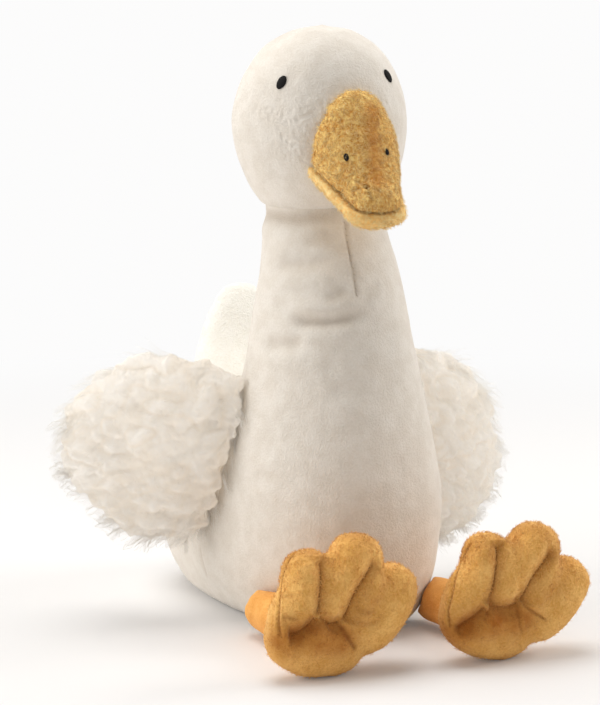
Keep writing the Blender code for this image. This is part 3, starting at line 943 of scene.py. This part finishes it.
# Body: throat dart, neck folds and the side panel's seam
NECK_TOP = 219.5 * MM
THROAT_DART = [(344, 219), (346.6, 236), (350.6, 259), (353.5, 270), (355.8, 288), (358, 300)]
THROAT_PITCH = 3.6 * MM
PANEL_SEAM = [(199, 541), (201, 556), (208, 580)]
FOLDS = (  # pixels, then depth, width and lip in mm, and the strength of the painted shade in the fold
    ([(262, 213), (280, 216), (310, 217), (336, 213), (352, 208)], 2.1, 4.2, 0.7, 0.6),
    ([(270, 265), (290, 263.5), (309, 262), (341, 257.5)], 1.7, 4.4, 0.7, 0.3),
    ([(300, 240), (318, 238), (338, 232)], 0.9, 5.0, 0.4, 0.25),
    ([(322, 300), (338, 294), (349, 284)], 1.3, 4.0, 0.5, 0.25),
    ([(362, 292), (372, 287), (381, 281)], 0.7, 3.6, 0.4, 0.0),
    ([(284, 319), (302, 321.5), (325, 322), (350, 317.5), (370, 312)], 2.3, 3.6, 1.0, 0.5),
    ([(262, 341), (276, 344.5), (293, 343), (310, 338)], 1.5, 4.2, 0.6, 0.25),
    ([(318, 362), (338, 366), (356, 362)], 0.6, 5.0, 0.4, 0.05),
    ([(330, 386), (346, 389), (362, 386)], 0.6, 5.0, 0.4, 0.05),
    ([(252, 476), (266, 479), (282, 477)], 0.4, 3.6, 0.3, 0.05),
)
body = shells["body"]
reach_into(body, NECK_TOP, depth=7 * MM, rise=6 * MM)
body_tree = tree_of(body)
relief = Relief(body)
relief.waves(size=34 * MM, height=0.9 * MM, seed=3.1)
relief.waves(size=13 * MM, height=0.32 * MM, seed=9.7, stretch=(1, 1, 1.7))
relief.waves(size=6 * MM, height=0.12 * MM, seed=4.9)
# The dart, the folds and the panel's seam get painted shade along them.
dart = line_on(body_tree, THROAT_DART)
relief.furrow(
    dart,
    depth=0.7 * MM,
    width=0.9 * MM,
    lip=0.25 * MM,
    shade_strength=0.5,
    pucker=0.35,
    pitch=THROAT_PITCH,
    ends=0.06,
)
for pixels, depth, width, lip, shade_strength in FOLDS:
    fold = line_on(body_tree, pixels)
    relief.furrow(fold, depth * MM, width * MM, lip=lip * MM, shade_strength=shade_strength, ends=0.3)
panel = line_on(body_tree, PANEL_SEAM)
relief.furrow(panel, depth=0.6 * MM, width=1.2 * MM, lip=0.3 * MM, shade_strength=0.4, pucker=0.2, ends=0.2)
relief.apply()
finish_piece(body, "body_velour", "body", white_velour)
body_skin = tree_of(body)
stitch_row(
    "throat_stitches",
    dart,
    body_skin,
    pitch=THROAT_PITCH,
    length=1.5 * MM,
    thickness=0.55 * MM,
    material=white_thread,
    skew=0.5,
)

# Head: small crumples beside the beak and under the eyes
CRUMPLES = (  # pixel, and reach in mm
    (262, 112, 9),
    (300, 128, 12),
    (322, 108, 10),
    (290, 150, 9),
    (385, 100, 6),
)
head = shells["head"]
head_tree = tree_of(head)
relief = Relief(head)
relief.waves(size=26 * MM, height=0.7 * MM, seed=5.4)
relief.waves(size=8 * MM, height=0.25 * MM, seed=1.7, stretch=(1, 1, 1.4))
for across, down, radius in CRUMPLES:
    relief.ruffles(spot_on(head_tree, across, down), radius * MM, size=3.6 * MM, height=0.36 * MM)
relief.apply()
finish_piece(head, "head_velour", "head", white_velour)

# Upper beak: a ridge with a small gathered star, and painted shade beside the ridge, on its left
STAR = (367, 187)
STAR_ENDS = ((357, 181), (352, 190), (372, 199), (380, 191), (366, 176))
RIDGE = [(364, 110), (366, 140), (367, 180)]
BESIDE_RIDGE = [(371, 112), (373, 140), (375, 165), (377, 182)]
TOP_PUFF = 2.8 * MM  # how far the beak's top end swells
TOP_PUFF_DEPTH = 12 * MM
upper = shells["upper_beak"]
upper_tree = tree_of(upper)
relief = Relief(upper)
relief.waves(size=7 * MM, height=0.3 * MM, seed=2.3)
# The star's creases and the ridge get painted shade along them.
for end in STAR_ENDS:
    crease = line_on(upper_tree, [STAR, end])
    relief.furrow(crease, depth=0.55 * MM, width=1.0 * MM, lip=0.25 * MM, shade_strength=0.35, ends=0.0)
relief.furrow(line_on(upper_tree, RIDGE), depth=0.25 * MM, width=1.6 * MM, shade_strength=0.15, ends=0.2)
# Painted shade in a stripe beside the ridge.
beak_shading = shade_along([(line_on(upper_tree, BESIDE_RIDGE), 4.2 * MM, 0.62)])
beak_top = relief.points[:, 2].max()
relief.out += TOP_PUFF * np.clip((relief.points[:, 2] - beak_top) / TOP_PUFF_DEPTH + 1, 0, 1)
relief.brushed = beak_shading(relief.points)
relief.apply()
finish_piece(upper, "upper_beak_plush", "upper_beak", beak_plush)

# Lower beak: a rounded rim with a dimple in front, with painted shade in the dimple
RIM_DIMPLE = (384, 222)
RIM_LIP = [(322, 179), (337, 200), (354, 214), (374, 217.5), (394, 216), (402, 206)]
lower = shells["lower_beak"]
lower_tree = tree_of(lower)
relief = Relief(lower)
relief.waves(size=6 * MM, height=0.25 * MM, seed=4.3)
# Dimple with painted shade in it.
relief.bump(spot_on(lower_tree, *RIM_DIMPLE), radius=2.6 * MM, height=-0.5 * MM, shade_strength=0.3)
relief.furrow(line_on(lower_tree, RIM_LIP), depth=-1.1 * MM, width=2.2 * MM, shade_strength=0, ends=0.1)
relief.apply()
finish_piece(lower, "lower_beak_plush", "lower_beak", rim_plush)

for node in ("eye_right", "eye_left", "nostril_right", "nostril_left"):
    satin_patch(node)

# Tail
tail = shells["tail"]
tuck_in(tail, body_tree, within=5 * MM, sink=3.5 * MM)
relief = Relief(tail)
relief.waves(size=22 * MM, height=0.8 * MM, seed=7.7)
relief.apply()
finish_piece(tail, "tail_velour", "tail", cream_velour)

# Legs
for node, seed in (("leg_right", 2.2), ("leg_left", 6.6)):
    relief = Relief(shells[node])
    relief.waves(size=14 * MM, height=0.5 * MM, seed=seed)
    relief.apply()
    finish_piece(shells[node], node + "_velour", node, orange_velour)

# Feet: the sewn lines between the toes, the wrinkles at their roots and the seam along the edge
FOOT_LINES = {  # pixels, depth and width in mm, the strength of the painted shade along it, and the share that fades at each end
    "foot_right": (
        ([(321, 556), (325, 562), (325, 585), (323, 605), (320, 618)], 1.5, 1.1, 0.9, 0.1),
        ([(380, 561), (373, 572), (360, 592), (350, 612), (345, 624)], 1.6, 1.1, 0.9, 0.1),
        ([(320, 617), (326, 622), (334, 626), (343, 623)], 1.3, 1.1, 0.8, 0.15),
        ([(319, 618), (311, 627), (299, 634), (287, 636)], 1.3, 1.2, 0.8, 0.15),
        ([(279, 617), (290, 618), (301, 620)], 0.8, 1.3, 0.5, 0.3),
        ([(278, 595), (288, 596), (296, 595)], 0.5, 1.5, 0.3, 0.3),
        ([(342, 624), (347, 636), (357, 651)], 1.1, 1.8, 0.8, 0.15),
        ([(346, 618), (358, 624), (372, 624), (386, 616)], 1.0, 3.2, 0.35, 0.3),
        ([(352, 605), (364, 612), (378, 610)], 0.8, 2.8, 0.3, 0.3),
    ),
    "foot_left": (
        ([(497, 540), (501, 550), (499, 575), (494, 595), (489, 607)], 1.5, 1.1, 0.9, 0.1),
        ([(556, 551), (549, 562), (536, 580), (526, 598), (522, 606)], 1.6, 1.1, 0.9, 0.1),
        ([(489, 607), (499, 609), (511, 609), (522, 605)], 1.3, 1.1, 0.8, 0.1),
        ([(488, 608), (478, 617), (466, 625), (454, 631)], 1.3, 1.2, 0.8, 0.1),
        ([(522, 605), (532, 611), (540, 616), (548, 622)], 1.2, 1.1, 0.7, 0.15),
        ([(520, 606), (519, 618), (520, 628), (524, 636)], 0.7, 1.4, 0.45, 0.2),
    ),
}
EDGE_SEAMS = {
    "foot_right": [(295, 552), (287, 565), (281, 584), (279, 605), (279, 625), (282, 641)],
    "foot_left": [(473, 541), (465, 553), (457, 572), (452, 595), (449, 612), (450, 630)],
}
SHADED_FOOT = {  # painted shade on the heel, the top of each toe, and the outer toe's middle
    "foot_right": (
        [(284, 641), (300, 637), (318, 638), (342, 640)],
        [(283, 563), (300, 551), (317, 556)],
        [(326, 545), (346, 533), (366, 539)],
        [(384, 562), (402, 560), (413, 572)],
        [(386, 582), (374, 602), (362, 618)],
    ),
    "foot_left": (
        [(450, 637), (470, 628), (490, 623), (522, 620)],
        [(462, 552), (478, 543), (492, 548)],
        [(498, 538), (520, 526), (545, 533)],
        [(556, 553), (570, 551), (582, 562)],
        [(568, 570), (554, 588), (540, 602)],
    ),
}
TOE_VALLEY = 3.8 * MM
TOE_VALLEY_WIDTH = 4.6 * MM
VALLEY_LINES = 1.2  # lines deeper than this, in mm, lie in a valley
EDGE_PITCH = 2.6 * MM
foot_shading = {}
for node, lines in FOOT_LINES.items():
    foot = shells[node]
    skin = tree_of(foot)
    relief = Relief(foot)
    relief.waves(size=12 * MM, height=0.5 * MM, seed=8.8)
    relief.waves(size=5 * MM, height=0.14 * MM, seed=1.1)
    for pixels, depth, width, shade_strength, ends in lines:
        line = line_on(skin, pixels)
        if depth > VALLEY_LINES:
            # A wide valley with painted shade in it.
            relief.furrow(line, TOE_VALLEY, TOE_VALLEY_WIDTH, lip=0.9 * MM, shade_strength=0.3, ends=0.7 * ends)
        relief.furrow(line, 0.7 * depth * MM, 0.8 * width * MM, shade_strength=shade_strength, ends=ends)
    # Painted shade on the heel and on the tops and middles of the toes.
    heel, *tops = (line_on(skin, pixels) for pixels in SHADED_FOOT[node])
    foot_shading[node] = shade_along([(heel, 10 * MM, 1.0)] + [(top, 6 * MM, 0.45) for top in tops])
    relief.brushed = foot_shading[node](relief.points)
    edge = line_on(skin, EDGE_SEAMS[node])
    # The edge seam gets painted shade along it too.
    relief.furrow(
        edge, depth=0.7 * MM, width=0.9 * MM, lip=0.3 * MM, pucker=0.5, pitch=EDGE_PITCH, ends=0.05
    )
    relief.apply()
    finish_piece(foot, node + "_plush", node, mustard_plush)
    stitch_row(
        node + "_stitches",
        edge,
        tree_of(foot),
        pitch=EDGE_PITCH,
        length=1.4 * MM,
        thickness=0.4 * MM,
        material=mustard_thread,
        skew=0.6,
    )

# Wings
for node, outward, seed in (("wing_right", -1.0, 41), ("wing_left", 1.0, 42)):
    wing = shells[node]
    big_locks = Locks(wing, outward, seed, BIG_LOCKS)
    small_locks = Locks(wing, outward, seed + 10, SMALL_LOCKS)
    relief = Relief(wing)
    big_locks.raise_on(relief)
    # The billows paint shade into the creases between puffs.
    relief.billows(size=13 * MM, height=1.8 * MM, shade_strength=0.5, seed=seed * 0.37, stretch=(1.5, 1.0, 0.7))
    relief.waves(size=6 * MM, height=2.4 * MM, seed=seed * 0.71, stretch=(1.5, 1.0, 0.8))
    relief.waves(size=2.6 * MM, height=1.1 * MM, seed=seed * 0.53)
    relief.soften(rounds=2)
    relief.apply()
    finish_piece(wing, node + "_pad", node, wing_backing)
    shag(node + "_shag", wing, small_locks, body_skin)

# Short pile on the beak and feet
fuzz(
    "upper_beak_pile",
    upper,
    count=9500,
    length=2.0 * MM,
    lie=(0, -0.2, -0.8),
    seed=51,
    material=beak_fuzz,
    patch_shading=beak_shading,
)
fuzz(
    "lower_beak_pile",
    lower,
    count=5000,
    length=1.9 * MM,
    lie=(0, -0.4, -0.4),
    seed=52,
    material=rim_fuzz,
)
for node, seed in (("foot_right", 53), ("foot_left", 54)):
    fuzz(
        node + "_pile",
        shells[node],
        count=9000,
        length=1.7 * MM,
        lie=(0, 0, 0.7),
        seed=seed,
        material=mustard_fuzz,
        keep=toe_tops,
        patch_shading=foot_shading[node],
    )


# Floor, background and light
FLOOR_HALF = 4.0
PAPER = (0.83, 0.82, 0.815)
WHITE_BACK = (0.975, 0.972, 0.97)
PAPER_FADES = (0.35, 0.85)  # from where to where the paper turns into the plain background, in metres
AIR = (1.0, 0.985, 0.965)
AIR_STRENGTH = 0.385
GOOSE_MIDDLE = Vector((0, 0.02, 0.15))
LAMPS = {  # place from the goose's middle, size across, power and colour
    "window_left": (-RIGHT * 1.38 + UP * 0.45 + BACK * 0.25, 1.3, 11.8, (1.0, 0.985, 0.96)),
    "window_right": (RIGHT * 1.3 + UP * 0.65 - BACK * 0.25, 0.8, 9.5, (1.0, 0.985, 0.96)),
    "ceiling": (Vector((0, 0, 1.5)) - BACK * 0.15 - RIGHT * 0.2, 1.2, 15.5, (1.0, 0.99, 0.975)),
}


def lay_floor():
    """White paper under the goose, which fades into the plain background."""
    plane = bmesh.new()
    bmesh.ops.create_grid(plane, x_segments=2, y_segments=2, size=FLOOR_HALF)
    mesh = bpy.data.meshes.new("studio_floor")
    plane.to_mesh(mesh)
    plane.free()
    floor = bpy.data.objects.new("studio_floor", mesh)
    scene.collection.objects.link(floor)
    material, dye = new_material("studio_paper")
    place = dye.node("ShaderNodeTexCoord", out=OBJECT_PLACE)
    away = dye.node("ShaderNodeVectorMath", {"operation": "LENGTH"}, {0: place}, out=1)
    paper = dye.node("ShaderNodeBsdfDiffuse", None, {"Color": rgb(*PAPER)})
    blank = dye.node("ShaderNodeEmission", None, {"Color": rgb(*WHITE_BACK), "Strength": 1.0})
    seen = dye.node("ShaderNodeLightPath")
    fade = (away.between(*PAPER_FADES) * 0.92 + 0.08) * seen
    mixed = dye.node("ShaderNodeMixShader", None, {0: fade, 1: paper, 2: blank})
    dye.node("ShaderNodeOutputMaterial", None, {"Surface": mixed})
    mesh.materials.append(material)


def light_world():
    """Soft light from all round, behind which the camera sees the plain background."""
    world = bpy.data.worlds.new("studio_air")
    scene.world = world
    world.use_nodes = True
    world.node_tree.nodes.clear()
    dye = Dye(world.node_tree)
    rays = dye.node("ShaderNodeLightPath")
    glossy = Dye(dye.tree, rays.socket.node.outputs["Is Glossy Ray"])
    through = Dye(dye.tree, rays.socket.node.outputs["Is Transmission Ray"])
    seen = dye.math("MINIMUM", rays + glossy + through, 1.0)
    air = dye.node("ShaderNodeBackground", None, {"Color": rgb(*AIR), "Strength": AIR_STRENGTH})
    back = dye.node("ShaderNodeBackground", None, {"Color": rgb(*WHITE_BACK), "Strength": 1.0})
    mixed = dye.node("ShaderNodeMixShader", None, {0: seen, 1: air, 2: back})
    dye.node("ShaderNodeOutputWorld", None, {"Surface": mixed})


def soft_lamp(name, offset, size, power, colour):
    """A round window of light that faces the goose."""
    lamp = bpy.data.lights.new(name, "AREA")
    lamp.shape = "DISK"
    lamp.size = size
    lamp.energy = power
    lamp.color = colour
    holder = bpy.data.objects.new(name, lamp)
    scene.collection.objects.link(holder)
    turn = offset.normalized().to_track_quat("Z", "Y").to_matrix().to_4x4()
    holder.matrix_world = Matrix.Translation(GOOSE_MIDDLE + offset) @ turn


lay_floor()
light_world()
for lamp_name, lamp_row in LAMPS.items():
    soft_lamp(lamp_name, *lamp_row)
